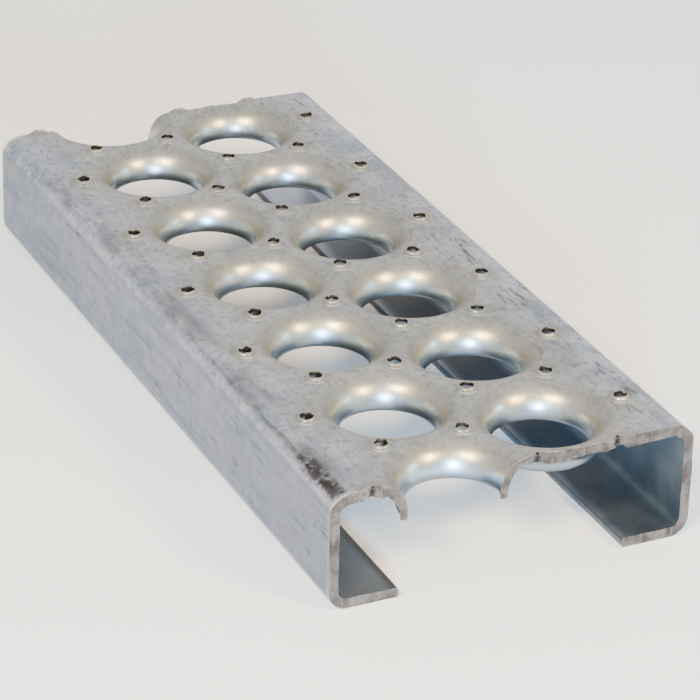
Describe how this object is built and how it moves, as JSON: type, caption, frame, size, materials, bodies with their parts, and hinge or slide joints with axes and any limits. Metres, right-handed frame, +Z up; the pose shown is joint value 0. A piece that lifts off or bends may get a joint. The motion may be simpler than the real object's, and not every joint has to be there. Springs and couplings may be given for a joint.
{
  "type": "scaffold plank section",
  "caption": "Short cut length of a galvanised steel channel plank with drawn round holes, raised grip buttons, folded side webs and inward return flanges.",
  "frame": {"origin": "middle of the plank's underside, between the two return flanges", "axes": "+X along the plank, +Y across it, +Z up through the walking surface"},
  "size_m": [0.294, 0.127, 0.0416],
  "materials": {
    "galvanised_steel": "hot-dip galvanised, matt mottled grey with faint spangle and forming marks"
  },
  "bodies": {
    "root": {"deck": "galvanised_steel", "side_web_front": "galvanised_steel", "side_web_back": "galvanised_steel", "return_flange_front": "galvanised_steel", "return_flange_back": "galvanised_steel"}
  },
  "joints": []
}
